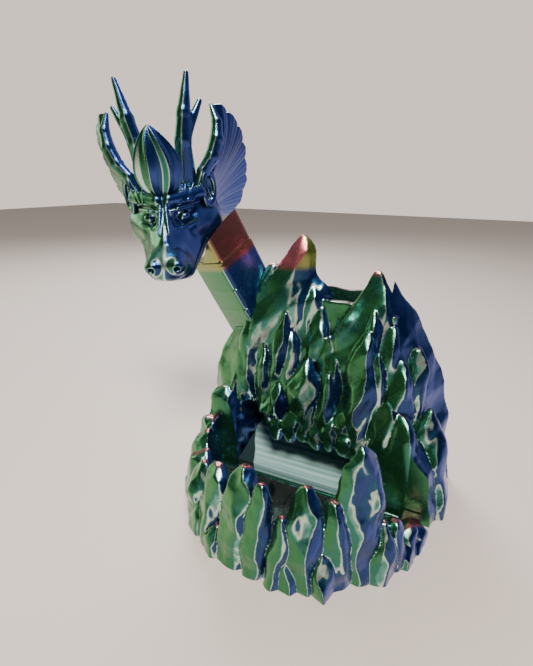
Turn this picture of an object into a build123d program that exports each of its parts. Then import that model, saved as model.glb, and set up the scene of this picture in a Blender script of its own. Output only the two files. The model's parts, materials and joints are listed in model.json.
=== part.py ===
from build123d import *
from math import atan2, cos, degrees, pi, radians, sin
import os

# Dice tower: a hollow crag with two peaks, a rock-rimmed tray docked to its flat front, and a
# dragon's head on a leaning neck.  Millimetres, +Z up, +Y away from the tray.  The origin is on
# the resting surface, at the centre of the round footprint, just behind the docking plane.

# ---- driving dimensions ------------------------------------------------------------------
RING_RADIUS = 96.0          # outer radius of the tray's rock rim
PEAK_HEIGHT = 195.0         # tip of the tall peak
SECOND_PEAK_HEIGHT = 174.0
DOCK_Y = -2.0               # the flat plane where the tray meets the crag
DOCK_GAP = 0.3              # clearance between tray and crag

BASE_THICKNESS = 3.0
PLATE_EDGE = 4.0            # how far the base plate reaches past the hollows above it
CAVE_LEFT = -60.0
CAVE_RIGHT = 60.0
CAVE_TOP = 44.0
CAVE_DEPTH = 50.0
CAVE_INNER_TOP = 50.0       # the roof's height behind the facade
CAVE_INNER_LEFT = -26.0
FACADE_THICKNESS = 14.0
CHIMNEY_CENTRE_X = 16.0
CHIMNEY_WIDTH = 60.0
CHIMNEY_FRONT = 34.0
CHIMNEY_BACK = 80.0
CHIMNEY_WALL = 6.0
CHIMNEY_WALL_TOP = 150.0
LARGEST_DIE = 22.0
PASSAGE = LARGEST_DIE + 2.0 # the narrowest way past a shelf
SHELF_THICKNESS = 3.0
SHELF_REACH = CHIMNEY_BACK - CHIMNEY_FRONT - PASSAGE
SHELF_DROP = 12.0
SHELF_TONGUE = 2.0          # how far a shelf's edges enter the chimney walls
RAMP_TOE = 9.0
RAMP_HEEL = 42.0
RAMP_SAG = 6.0              # how far the ramp's middle hangs below a straight line
RAMP_SHEET = 4.0
RAMP_SIDE_GAP = 0.3
RAMP_RIB = 3.0
RAMP_RIBS = 4
RAMP_SETBACK = 1.0          # from the docking plane to the ramp's toe
RAMP_HOLLOW_MOUTH = 2.0     # height of the hollows' front ends

TRAY_INNER_RADIUS = 76.0
TRAY_RIM_RADIUS = 90.0
TRAY_FLOOR = 4.0
TRAY_RIM_HEIGHT = 11.0
TRAY_LIP_GAP = 3.0          # from the docking plane to the back of the straight lip
TRAY_LIP_HEIGHT = 5.5
TRAY_LIP_THICKNESS = 2.0

DOCK_HEIGHT = 6.0           # of the pegs and magnets above the resting surface
PEG_X = 80.0
PEG_RADIUS = 2.0
PEG_CLEARANCE = 0.05
PEG_CHAMFER = 0.5
PEG_HOLE_EXTRA = 1.0
PEG_IN_TRAY = 8.0
PEG_IN_CRAG = 7.0
MAGNET_X = 86.5
MAGNET_RADIUS = 3.0
MAGNET_LENGTH = 3.0

NECK_SIDE = 37.5
NECK_WALL = 3.0
NECK_CORNER = 3.0
NECK_TURN = 21.0            # turn of the square section about the neck's own axis
NECK_JOINT = Vector(-82.0, 18.0, 181.0)
NECK_AXIS = Vector(-0.315, -0.345, 0.884).normalized()
NECK_BELOW = 100.0          # length below the joint, with the part held in the socket
NECK_ABOVE = 30.0
NECK_HOLE_EXTRA = 1.0       # how much deeper the hole for the spigot is than the spigot
NECK_STEP = 0.6             # how far the upper length stands inside the lower one's faces
SOCKET_CLEARANCE = 0.35
SPIGOT_LENGTH = 25.0
SPIGOT_CLEARANCE = 0.3
SEAT_GAP = 0.1              # left between two pieces that rest on each other and pull apart

HEAD_CENTRE = Vector(-110.6, 0.2, 216.0)
HEAD_AZIMUTH = 27.0         # degrees to the right of the tray's own direction
HEAD_PITCH = 33.0           # degrees below level
HEAD_ROLL = 6.0
FIN_THICKNESS = 3.0

chimney_left = CHIMNEY_CENTRE_X - CHIMNEY_WIDTH / 2
chimney_right = CHIMNEY_CENTRE_X + CHIMNEY_WIDTH / 2
chimney_middle_y = (CHIMNEY_FRONT + CHIMNEY_BACK) / 2
chimney_depth = CHIMNEY_BACK - CHIMNEY_FRONT
dock_plane = Plane.XZ.offset(-DOCK_Y)
tray_back_plane = dock_plane.offset(DOCK_GAP)
PAST_ALL = 400.0            # longer than anything that it cuts

os.makedirs("parts", exist_ok=True)


def save(part, label):
    part.label = label
    export_step(part, f"parts/{label}.step")


# ---- the pieces inside the crag ----------------------------------------------------------
# Each shelf is (name, wall it grows from, direction it points in, height at that wall).
SHELVES = [
    ("baffle_upper", CHIMNEY_FRONT, 1, 146),
    ("baffle_middle", CHIMNEY_BACK, -1, 116),
    ("baffle_lower", CHIMNEY_FRONT, 1, 86),
]
shelves = []
for name, root_y, direction, root_z in SHELVES:
    tip_y = root_y + direction * SHELF_REACH
    tip_z = root_z - SHELF_DROP
    buried_y = root_y - direction * SHELF_TONGUE
    with BuildPart() as shelf:
        with BuildSketch(Plane.YZ.offset(chimney_left - SHELF_TONGUE)):
            with BuildLine():
                Polyline(
                    (buried_y, root_z),
                    (tip_y, tip_z),
                    (tip_y, tip_z - SHELF_THICKNESS),
                    (buried_y, root_z - SHELF_THICKNESS),
                    close=True,
                )
            make_face()
        extrude(amount=CHIMNEY_WIDTH + 2 * SHELF_TONGUE)
    save(shelf.part, name)
    shelves.append(shelf.part)

plate_outline = [
    (CAVE_LEFT - PLATE_EDGE, DOCK_Y),
    (CAVE_RIGHT + PLATE_EDGE, DOCK_Y),
    (CAVE_RIGHT + PLATE_EDGE, CAVE_DEPTH + PLATE_EDGE),
    (chimney_right + PLATE_EDGE, CAVE_DEPTH + PLATE_EDGE),
    (chimney_right + PLATE_EDGE, CHIMNEY_BACK + PLATE_EDGE),
    (chimney_left - PLATE_EDGE, CHIMNEY_BACK + PLATE_EDGE),
    (chimney_left - PLATE_EDGE, CAVE_DEPTH + PLATE_EDGE),
    (CAVE_LEFT - PLATE_EDGE, CAVE_DEPTH + PLATE_EDGE),
]
with BuildPart() as base_plate:
    with BuildSketch(Plane.XY):
        with BuildLine():
            Polyline(*plate_outline, close=True)
        make_face()
    extrude(amount=BASE_THICKNESS)
save(base_plate.part, "base_plate")

# The ramp is a curved sheet that falls from the chimney's back wall to the cave mouth, on ribs.
ramp_front = DOCK_Y + RAMP_SETBACK
hollow_front = ramp_front + 2 * RAMP_SHEET
hollow_front_top = BASE_THICKNESS + RAMP_HOLLOW_MOUTH
ramp_heel_y = CHIMNEY_BACK - RAMP_SIDE_GAP
ramp_middle = ((ramp_front + ramp_heel_y) / 2, (RAMP_TOE + RAMP_HEEL) / 2 - RAMP_SAG)
with BuildPart() as exit_ramp:
    with BuildSketch(Plane.YZ.offset(CAVE_LEFT + RAMP_SIDE_GAP)):
        with BuildLine():
            ThreePointArc((ramp_front, RAMP_TOE), ramp_middle, (ramp_heel_y, RAMP_HEEL))
            Polyline(
                (ramp_heel_y, RAMP_HEEL),
                (ramp_heel_y, BASE_THICKNESS),
                (ramp_front, BASE_THICKNESS),
                (ramp_front, RAMP_TOE),
            )
        make_face()
    extrude(amount=CAVE_RIGHT - CAVE_LEFT - 2 * RAMP_SIDE_GAP)
    # behind the cave only the chimney's width is left
    with BuildSketch(Plane.XY):
        with Locations((0, CAVE_DEPTH - RAMP_SIDE_GAP)):
            Rectangle(PAST_ALL, chimney_depth, align=(Align.CENTER, Align.MIN))
        with Locations((CHIMNEY_CENTRE_X, CAVE_DEPTH - RAMP_SIDE_GAP)):
            Rectangle(CHIMNEY_WIDTH - 2 * RAMP_SIDE_GAP, chimney_depth, align=(Align.CENTER, Align.MIN),
                      mode=Mode.SUBTRACT)
    extrude(amount=PAST_ALL, mode=Mode.SUBTRACT)
    # hollows between the ribs
    rib_pitch = (CHIMNEY_WIDTH - RAMP_RIB - 2 * RAMP_SIDE_GAP) / (RAMP_RIBS - 1)
    for index in range(-1, RAMP_RIBS):
        hollow_left = chimney_left + RAMP_SIDE_GAP + RAMP_RIB + index * rib_pitch
        deep = 0 <= index < RAMP_RIBS - 1
        hollow_back = CHIMNEY_BACK - RAMP_SHEET if deep else CAVE_DEPTH - RAMP_SHEET
        with BuildSketch(Plane.YZ.offset(hollow_left)):
            with BuildLine():
                ThreePointArc(
                    (hollow_front, hollow_front_top),
                    (ramp_middle[0], ramp_middle[1] - RAMP_SHEET),
                    (ramp_heel_y, RAMP_HEEL - RAMP_SHEET),
                )
                Polyline(
                    (ramp_heel_y, RAMP_HEEL - RAMP_SHEET),
                    (ramp_heel_y, BASE_THICKNESS),
                    (hollow_front, BASE_THICKNESS),
                    (hollow_front, hollow_front_top),
                )
            make_face()
            with Locations((hollow_back, 0)):
                Rectangle(PAST_ALL, PAST_ALL, align=(Align.MIN, Align.CENTER), mode=Mode.SUBTRACT)
        extrude(amount=rib_pitch - RAMP_RIB, mode=Mode.SUBTRACT)
save(exit_ramp.part, "exit_ramp")

# ---- the docking magnets and pegs --------------------------------------------------------
with BuildPart() as tower_magnets:
    with BuildSketch(dock_plane):
        with Locations((-MAGNET_X, DOCK_HEIGHT), (MAGNET_X, DOCK_HEIGHT)):
            Circle(MAGNET_RADIUS)
    extrude(amount=-MAGNET_LENGTH)
save(tower_magnets.part, "tower_magnets")

with BuildPart() as tray_magnets:
    with BuildSketch(tray_back_plane):
        with Locations((-MAGNET_X, DOCK_HEIGHT), (MAGNET_X, DOCK_HEIGHT)):
            Circle(MAGNET_RADIUS)
    extrude(amount=MAGNET_LENGTH)
save(tray_magnets.part, "tray_magnets")

with BuildPart() as dock_pegs:
    with BuildSketch(dock_plane.offset(DOCK_GAP + PEG_IN_TRAY)):
        with Locations((-PEG_X, DOCK_HEIGHT), (PEG_X, DOCK_HEIGHT)):
            Circle(PEG_RADIUS)
    extrude(amount=-(PEG_IN_TRAY + DOCK_GAP + PEG_IN_CRAG))
    chamfer(dock_pegs.edges().group_by(Axis.Y)[-1], PEG_CHAMFER)
save(dock_pegs.part, "dock_pegs")

# ---- the crag ----------------------------------------------------------------------------
# Each column is (x, y, height, foot radius, lean in x, lean in y, turn), with leans as the
# horizontal drift over the whole height.
CRAG_COLUMNS = [
    (-26, 34, PEAK_HEIGHT, 32, 5, -4, 10),
    (-6, 24, 168, 24, -4, 4, 35),
    (-46, 30, 158, 25, 8, 0, 50),
    (-62, 30, 128, 24, 6, 0, 15),
    (-76, 28, 100, 22, 4, 0, 40),
    (-82, 12, 66, 16, 2, 0, 5),
    (38, 34, SECOND_PEAK_HEIGHT, 30, 2, -2, 20),
    (16, 26, 152, 24, 0, 4, 0),
    (56, 34, 156, 26, -4, 0, 45),
    (68, 28, 128, 26, -4, 0, 12),
    (80, 26, 104, 24, -3, 0, 30),
    (80, 14, 74, 20, -4, 0, 50),
    (86, 44, 84, 22, -2, 0, 5),
    (70, 60, 124, 30, -4, -4, 25),
    (40, 72, 160, 28, -2, -4, 48),
    (8, 74, 164, 26, 0, -4, 8),
    (-24, 70, 156, 28, 2, -4, 33),
    (-56, 62, 92, 28, 3, -3, 20),
    (-80, 44, 74, 22, 3, -2, 44),
    (-8, 20, 118, 22, 0, 5, 22),
    (12, 18, 96, 20, 0, 4, 41),
    (34, 20, 124, 24, 2, 4, 9),
    (52, 20, 100, 22, 2, 3, 27),
    (-30, 20, 128, 22, 2, 5, 3),
    (-48, 18, 104, 20, 2, 4, 30),
]
COLUMN_SIDES = 7
COLUMN_SHOULDER = 0.62      # share of a column's height below its pointed cap
COLUMN_TAPER = 4.0
COLUMN_TIP = 0.22           # radius of the cap's tip against the column's foot
# The masses that the columns stand against: (centre x, centre y, half width, half depth,
# shoulder height, top x, top y, top height, top radius).
MASSES = [
    (-28, 36, 56, 34, 88, -22, 32, 184, 6),
    (38, 38, 58, 36, 74, 39, 34, 164, 7),
    (10, 56, 66, 36, 70, 14, 60, 150, 40),
]
MASS_SIDES = 11
MASS_NARROWING = 0.92       # size at the shoulder against the foot
MASS_RIDGE = 0.6            # depth of a top against its width
CAP_STEP = 0.5              # a cap starts a little inside its column
FOOT_EXTRA = 20.0           # columns start below the floor and are cut off there
CORE_HEIGHT = 62.0
CORE_WIDTH = 150.0
CORE_CORNER = 20.0
WING_DEPTH = 28.0
# Outlines on the docking plane, as (x, z): the wings' flat fronts and the cave between them.
RIGHT_WING = [
    (CAVE_RIGHT, 0), (97, 0), (96, 34), (86, 50), (76, 66), (66, 78), (CAVE_RIGHT, 72), (54, 58),
    (CAVE_RIGHT, 40),
]
LEFT_WING = [(CAVE_LEFT, 0), (-95, 0), (-94, 30), (-86, 54), (-74, 66), (CAVE_LEFT, 70)]
CAVE_OUTLINE = [
    (CAVE_LEFT, 0), (CAVE_RIGHT, 0), (CAVE_RIGHT, 30), (46, 38), (CAVE_INNER_LEFT, CAVE_TOP),
    (-34, 60), (-54, 60), (CAVE_LEFT, CAVE_TOP),
]

# the square section is turned about the neck's own axis, which leaves the axis as it is
neck_side_dir = Vector(0, 0, 1).cross(NECK_AXIS).normalized()
neck_face_dir = neck_side_dir.rotate(Axis((0, 0, 0), NECK_AXIS), NECK_TURN)
neck_plane = Plane(origin=NECK_JOINT, x_dir=neck_face_dir, z_dir=NECK_AXIS)

masses = []
for centre_x, centre_y, half_x, half_y, shoulder, top_x, top_y, top_z, top_radius in MASSES:
    with BuildPart() as mass:
        for section_x, section_y, across, deep, level in (
            (centre_x, centre_y, half_x, half_y, 0),
            (centre_x, centre_y, half_x * MASS_NARROWING, half_y * MASS_NARROWING, shoulder),
            (top_x, top_y, top_radius, top_radius * MASS_RIDGE, top_z),
        ):
            turns = [2 * pi * step / MASS_SIDES for step in range(MASS_SIDES)]
            corners = [(across * cos(t), deep * sin(t)) for t in turns]
            with BuildSketch(Plane(origin=(section_x, section_y, level))):
                Polygon(*corners, align=None)
        loft(ruled=True)
    masses.append(mass.part)

with BuildPart() as mountain_shell:
    for x, y, height, radius, lean_x, lean_y, turn in CRAG_COLUMNS:
        axis = Vector(lean_x, lean_y, height).normalized()
        side = Vector(cos(radians(turn)), sin(radians(turn)), 0).cross(axis).normalized()
        foot = Plane(origin=(x, y, -FOOT_EXTRA), x_dir=side, z_dir=axis)
        shoulder_height = FOOT_EXTRA + height * COLUMN_SHOULDER
        shoulder_radius = radius - shoulder_height * sin(radians(COLUMN_TAPER))
        cap_height = height * (1 - COLUMN_SHOULDER)
        cap_taper = degrees(atan2(shoulder_radius - radius * COLUMN_TIP, cap_height))
        with BuildSketch(foot):
            RegularPolygon(radius, COLUMN_SIDES)
        extrude(amount=shoulder_height, taper=COLUMN_TAPER)
        with BuildSketch(foot.offset(shoulder_height)):
            RegularPolygon(shoulder_radius - CAP_STEP, COLUMN_SIDES)
        extrude(amount=cap_height, taper=cap_taper)
    for mass_part in masses:
        add(mass_part)
    # the core that the columns lean on, across the cave and round the chimney
    with BuildSketch(Plane.XY):
        with Locations((0, CHIMNEY_BACK / 2)):
            RectangleRounded(CORE_WIDTH, CHIMNEY_BACK, CORE_CORNER)
    extrude(amount=CORE_HEIGHT)
    with BuildSketch(Plane.XY.offset(CORE_HEIGHT)):
        with Locations((CHIMNEY_CENTRE_X, chimney_middle_y)):
            Rectangle(CHIMNEY_WIDTH + 2 * CHIMNEY_WALL, chimney_depth + 2 * CHIMNEY_WALL)
    extrude(amount=CHIMNEY_WALL_TOP - CORE_HEIGHT)
    # the two wings with flat fronts that the tray docks against
    for wing_outline in (RIGHT_WING, LEFT_WING):
        with BuildSketch(dock_plane):
            with BuildLine():
                Polyline(*wing_outline, close=True)
            make_face()
        extrude(amount=-WING_DEPTH)
    # the foot is flat, and the front is cut on the docking plane
    split(bisect_by=Plane.XY, keep=Keep.TOP)
    split(bisect_by=dock_plane, keep=Keep.BOTTOM)
    # the cave that the dice roll out of
    with BuildSketch(dock_plane):
        with BuildLine():
            Polyline(*CAVE_OUTLINE, close=True)
        make_face()
    extrude(amount=DOCK_Y - CAVE_DEPTH, mode=Mode.SUBTRACT)
    # its roof rises behind the facade, so that the largest die clears the chimney's front wall
    inner_roof_width = chimney_right - CAVE_INNER_LEFT
    with BuildSketch(dock_plane.offset(-FACADE_THICKNESS)):
        with Locations((CAVE_INNER_LEFT, 0)):
            Rectangle(inner_roof_width, CAVE_INNER_TOP, align=(Align.MIN, Align.MIN))
    extrude(amount=DOCK_Y + FACADE_THICKNESS - CAVE_DEPTH, mode=Mode.SUBTRACT)
    # the chimney
    with BuildSketch(Plane.XY):
        with Locations((CHIMNEY_CENTRE_X, chimney_middle_y)):
            Rectangle(CHIMNEY_WIDTH, chimney_depth)
    extrude(amount=PEAK_HEIGHT, mode=Mode.SUBTRACT)
    # pockets for the base plate, the shelves' edges and the magnets
    add(base_plate.part, mode=Mode.SUBTRACT)
    for shelf_part in shelves:
        add(shelf_part, mode=Mode.SUBTRACT)
    add(tower_magnets.part, mode=Mode.SUBTRACT)
    # the neck's socket, open upwards along the neck's axis
    with BuildSketch(neck_plane.offset(-NECK_BELOW - SEAT_GAP)):
        Rectangle(NECK_SIDE + 2 * SOCKET_CLEARANCE, NECK_SIDE + 2 * SOCKET_CLEARANCE)
    extrude(amount=2 * NECK_BELOW, mode=Mode.SUBTRACT)
    # peg holes in the docking faces
    with BuildSketch(dock_plane):
        with Locations((-PEG_X, DOCK_HEIGHT), (PEG_X, DOCK_HEIGHT)):
            Circle(PEG_RADIUS + PEG_CLEARANCE)
    extrude(amount=-PEG_IN_CRAG - PEG_HOLE_EXTRA, mode=Mode.SUBTRACT)
save(mountain_shell.part, "mountain_shell")

# ---- the tray ----------------------------------------------------------------------------
# Each rock is (angle from straight ahead, height, foot radius, inward lean).
TRAY_ROCKS = [
    (-80, 52, 13, 4),
    (-68, 46, 13, 4),
    (-54, 40, 13, 3),
    (-41, 50, 12, 4),
    (-29, 58, 11, 5),
    (-15, 70, 13, 6),
    (-2, 68, 11, 6),
    (9, 50, 9, 4),
    (19, 66, 12, 6),
    (32, 58, 12, 5),
    (46, 92, 16, 9),
    (62, 24, 9, 1),
    (76, 14, 10, 0),
]
ROCK_SIDES = 6
ROCK_SHOULDER = 0.78
ROCK_TAPER = 2.5
ROCK_TIP = 0.45

lip_y = DOCK_Y - TRAY_LIP_GAP
with BuildPart() as rock_tray:
    with BuildSketch(Plane.XY):
        Circle(TRAY_RIM_RADIUS)
    extrude(amount=TRAY_RIM_HEIGHT)
    for angle, height, radius, lean in TRAY_ROCKS:
        outward = Vector(sin(radians(angle)), -cos(radians(angle)), 0)
        axis = (Vector(0, 0, height) - outward * lean).normalized()
        across = Vector(0, 0, 1).cross(outward)
        foot_centre = outward * (RING_RADIUS - radius)
        foot = Plane(origin=foot_centre - axis * FOOT_EXTRA, x_dir=across, z_dir=axis)
        shoulder_height = FOOT_EXTRA + height * ROCK_SHOULDER
        shoulder_radius = radius - shoulder_height * sin(radians(ROCK_TAPER))
        cap_height = height * (1 - ROCK_SHOULDER)
        cap_taper = degrees(atan2(shoulder_radius - radius * ROCK_TIP, cap_height))
        with BuildSketch(foot):
            RegularPolygon(radius, ROCK_SIDES)
        extrude(amount=shoulder_height, taper=ROCK_TAPER)
        with BuildSketch(foot.offset(shoulder_height)):
            RegularPolygon(shoulder_radius - CAP_STEP, ROCK_SIDES)
        extrude(amount=cap_height, taper=cap_taper)
    # the bowl, open to the back, with a straight lip along the back of its floor
    with BuildSketch(Plane.XY.offset(TRAY_FLOOR)):
        Circle(TRAY_INNER_RADIUS)
    extrude(amount=PEAK_HEIGHT, mode=Mode.SUBTRACT)
    with BuildSketch(Plane.XY):
        with Locations((0, lip_y)):
            Rectangle(2 * TRAY_INNER_RADIUS, TRAY_LIP_THICKNESS, align=(Align.CENTER, Align.MAX))
    extrude(amount=TRAY_LIP_HEIGHT)
    with BuildSketch(Plane.XY):
        with Locations((0, lip_y)):
            Rectangle(2 * TRAY_INNER_RADIUS, RING_RADIUS, align=(Align.CENTER, Align.MIN))
    extrude(amount=PEAK_HEIGHT, mode=Mode.SUBTRACT)
    split(bisect_by=Plane.XY, keep=Keep.TOP)
    split(bisect_by=tray_back_plane, keep=Keep.TOP)
    add(dock_pegs.part, mode=Mode.SUBTRACT)
    add(tray_magnets.part, mode=Mode.SUBTRACT)
save(rock_tray.part, "rock_tray")

# ---- the neck ----------------------------------------------------------------------------
with BuildPart() as neck_lower:
    with BuildSketch(neck_plane.offset(-NECK_BELOW)) as neck_section:
        Rectangle(NECK_SIDE, NECK_SIDE)
        chamfer(neck_section.vertices(), NECK_CORNER)
    extrude(amount=NECK_BELOW)
    with BuildSketch(neck_plane):
        Rectangle(NECK_SIDE - 2 * NECK_WALL, NECK_SIDE - 2 * NECK_WALL)
    extrude(amount=-(SPIGOT_LENGTH + NECK_HOLE_EXTRA), mode=Mode.SUBTRACT)
save(neck_lower.part, "neck_lower")

spigot_side = NECK_SIDE - 2 * NECK_WALL - 2 * SPIGOT_CLEARANCE
with BuildPart() as neck_upper:
    with BuildSketch(neck_plane.offset(SEAT_GAP)) as upper_section:
        Rectangle(NECK_SIDE - 2 * NECK_STEP, NECK_SIDE - 2 * NECK_STEP)
        chamfer(upper_section.vertices(), NECK_CORNER)
    extrude(amount=NECK_ABOVE)
    with BuildSketch(neck_plane.offset(SEAT_GAP)):
        Rectangle(spigot_side, spigot_side)
    extrude(amount=-SPIGOT_LENGTH)
save(neck_upper.part, "neck_upper")

# ---- the head ----------------------------------------------------------------------------
# In the head's own frame x points to its right side as seen from the front, y to its crown
# and z out along its muzzle.
forward = Vector(
    cos(radians(HEAD_PITCH)) * sin(radians(HEAD_AZIMUTH)),
    -cos(radians(HEAD_PITCH)) * cos(radians(HEAD_AZIMUTH)),
    -sin(radians(HEAD_PITCH)),
)
level_right = Vector(cos(radians(HEAD_AZIMUTH)), sin(radians(HEAD_AZIMUTH)), 0)
right = level_right.rotate(Axis((0, 0, 0), forward), HEAD_ROLL)
head_plane = Plane(origin=HEAD_CENTRE, x_dir=right, z_dir=forward)
head_mirror = Plane(origin=HEAD_CENTRE, z_dir=head_plane.x_dir)


def head_point(x, y, z):
    return head_plane.from_local_coords(Vector(x, y, z))


def head_direction(x, y, z):
    return head_point(x, y, z) - head_point(0, 0, 0)


# limbs of the right antler: (start, end, radius at start, radius at end)
ANTLER_LIMBS = [
    ((13, 20, 0), (15.5, 42, -6), 7.0, 4.8),
    ((15.5, 42, -6), (18.5, 56, -14), 4.8, 3.8),
    ((18.5, 56, -14), (23, 75, -28), 3.8, 1.6),
    ((16.5, 44, -8), (29, 59, -24), 3.4, 1.6),
]
with BuildPart() as antler_right:
    for start, end, start_radius, end_radius in ANTLER_LIMBS:
        limb = head_point(*end) - head_point(*start)
        with BuildSketch(Plane(origin=head_point(*start), z_dir=limb)):
            Circle(start_radius)
        extrude(amount=limb.length, taper=degrees(atan2(start_radius - end_radius, limb.length)))
        with Locations(head_point(*end)):
            Sphere(end_radius)
save(antler_right.part, "antler_right")
with BuildPart() as antler_left:
    mirror(antler_right.part, about=head_mirror)
save(antler_left.part, "antler_left")

# the frill is a scalloped plate that stands out behind the cheek
FIN_OUTLINE = [
    (-35, -7), (-28, 2), (-18, 8), (-8, 18), (-2, 26), (1, 34), (7, 32), (13, 24),
    (18, 13), (22, -5), (21, -33), (13, -51), (0, -56), (-14, -42), (-30, -22),
]
fin_plane = Plane(
    origin=head_point(40, 21, -24),
    x_dir=head_direction(0.542, -0.004, -0.84),
    z_dir=head_direction(0.839, -0.048, 0.542),
)
with BuildPart() as fin_right:
    with BuildSketch(fin_plane):
        with BuildLine():
            Polyline(*FIN_OUTLINE, close=True)
        make_face()
    extrude(amount=FIN_THICKNESS / 2, both=True)
    add(neck_upper.part, mode=Mode.SUBTRACT)
save(fin_right.part, "fin_right")
with BuildPart() as fin_left:
    mirror(fin_right.part, about=head_mirror)
save(fin_left.part, "fin_left")

EAR_HALF_WIDTH = 6.0
EAR_HALF_LENGTH = 12.0
EAR_SLANT = -25.0
EAR_THICKNESS = 4.0
ear_plane = Plane(
    origin=head_point(25.5, 13.6, 4.2),
    x_dir=head_direction(0.6, 0, -0.8),
    z_dir=head_direction(0.75, 0.3, 0.6),
)
with BuildPart() as ear_right:
    with BuildSketch(ear_plane):
        Ellipse(EAR_HALF_WIDTH, EAR_HALF_LENGTH, rotation=EAR_SLANT)
    extrude(amount=EAR_THICKNESS)
    # the back of the ear is hollowed to lie against the frill
    add(fin_right.part, mode=Mode.SUBTRACT)
save(ear_right.part, "ear_right")
with BuildPart() as ear_left:
    mirror(ear_right.part, about=head_mirror)
save(ear_left.part, "ear_left")

# the crest: a flame-shaped crown, as (rise, reach, half width, half depth)
CREST_LEAN = -0.35          # reach lost for each unit of rise, square to the sections
CREST_SECTIONS = [(18, 18, 8, 5), (30, 14, 14, 9), (42, 10, 13, 9), (52, 6, 7, 6), (60, 3, 2, 2)]
with BuildPart() as forehead_crest:
    for rise, reach, half_width, half_depth in CREST_SECTIONS:
        with BuildSketch(Plane(origin=head_point(0, rise, reach), x_dir=head_plane.x_dir,
                               z_dir=head_direction(0, 1, CREST_LEAN))):
            Ellipse(half_width, half_depth)
    loft()
save(forehead_crest.part, "forehead_crest")

# sections of the skull and muzzle: (reach, rise, half width, half height)
HEAD_SECTIONS = [
    (-24, 0, 15, 14),
    (-10, 1, 27, 24),
    (8, 0, 29, 26),
    (30, -3, 21, 20),
    (48, -7, 17, 16),
    (61, -10, 15, 14),
    (69, -11, 9, 8),
]
with BuildPart() as dragon_head:
    for reach, rise, half_width, half_height in HEAD_SECTIONS:
        with BuildSketch(head_plane.offset(reach)):
            with Locations((0, rise)):
                Ellipse(half_width, half_height)
    loft()
    # cut to fit round the pieces that are set into it
    fitted_pieces = [neck_upper, antler_left, antler_right, fin_left, fin_right, ear_left, ear_right]
    for fitted in fitted_pieces + [forehead_crest]:
        add(fitted.part, mode=Mode.SUBTRACT)
save(dragon_head.part, "dragon_head")
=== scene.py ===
import json
from math import cos, hypot, pi, radians, sin

import bmesh
import bpy
import numpy as np
import openvdb
from mathutils import Matrix, Vector


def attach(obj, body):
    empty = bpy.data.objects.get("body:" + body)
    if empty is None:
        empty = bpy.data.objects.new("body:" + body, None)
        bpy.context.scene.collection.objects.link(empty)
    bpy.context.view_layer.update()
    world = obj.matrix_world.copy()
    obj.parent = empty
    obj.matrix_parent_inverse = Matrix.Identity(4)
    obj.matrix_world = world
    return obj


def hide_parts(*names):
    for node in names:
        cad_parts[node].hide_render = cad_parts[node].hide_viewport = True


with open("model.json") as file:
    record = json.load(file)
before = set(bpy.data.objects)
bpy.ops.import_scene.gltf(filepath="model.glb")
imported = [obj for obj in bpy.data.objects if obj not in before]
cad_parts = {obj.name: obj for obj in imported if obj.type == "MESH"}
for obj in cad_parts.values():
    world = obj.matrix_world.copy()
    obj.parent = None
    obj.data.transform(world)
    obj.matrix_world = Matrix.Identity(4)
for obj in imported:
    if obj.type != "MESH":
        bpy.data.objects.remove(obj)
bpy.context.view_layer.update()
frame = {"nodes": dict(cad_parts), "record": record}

# Shapes are worked out in millimetres in the row frame and scaled to metres as they become meshes.
MM = 0.001
FAR = 30.0                      # the distance fields' value away from every solid

# ---- dimensions shared with the CAD frame --------------------------------------------------
DOCK_Y = -2.0
DOCK_GAP = 0.3
BASE_THICKNESS = 3.0
CAVE_DEPTH = 50.0
CHIMNEY_LOW = (-14.0, 34.0)
CHIMNEY_HIGH = (46.0, 80.0)
CHIMNEY_WALL = 6.0
CHIMNEY_WALL_TOP = 150.0
PEG_X = 80.0
PEG_RADIUS = 2.0
PEG_HOLE_DEPTH = 8.0
PEG_HOLE_GAP = 0.05
DOCK_HEIGHT = 6.0
TRAY_FLOOR = 4.0
NECK_SIDE = 37.5
NECK_TURN = 21.0
NECK_BELOW = 100.0
NECK_JOINT = Vector((-82.0, 18.0, 181.0))
NECK_AXIS = Vector((-0.315, -0.345, 0.884)).normalized()
HEAD_CENTRE = Vector((-110.6, 0.2, 216.0))
HEAD_AZIMUTH, HEAD_PITCH, HEAD_ROLL = 27.0, 33.0, 6.0

# ---- camera, light and floor ---------------------------------------------------------------
CAMERA_PLACE = Vector((0.0787, -0.2592, 0.2330))
CAMERA_RIGHT = Vector((0.91298, 0.40776, 0.01421))
CAMERA_UP = Vector((-0.15474, 0.31383, 0.93679))
CAMERA_FORWARD = Vector((-0.37753, 0.85746, -0.34961))
CAMERA_LENS = 22.2


def make_camera():
    data = bpy.data.cameras.new("camera")
    data.lens = CAMERA_LENS
    data.sensor_width = 36.0
    data.clip_start = 0.01
    camera = bpy.data.objects.new("camera", data)
    axes = Matrix((CAMERA_RIGHT, CAMERA_UP, -CAMERA_FORWARD)).transposed()
    camera.matrix_world = Matrix.Translation(CAMERA_PLACE) @ axes.to_4x4()
    bpy.context.scene.collection.objects.link(camera)
    bpy.context.scene.camera = camera


def area_light(name, direction, distance, size, watts, colour):
    """A square light that faces the object from a direction."""
    data = bpy.data.lights.new(name, "AREA")
    data.size = size
    data.energy = watts
    data.color = colour
    light = bpy.data.objects.new(name, data)
    target = Vector((0.0, 0.02, 0.11))
    aim = Vector(direction).normalized()
    light.location = target + aim * distance
    light.rotation_mode = "QUATERNION"
    light.rotation_quaternion = aim.to_track_quat("Z", "Y")
    bpy.context.scene.collection.objects.link(light)


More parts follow.
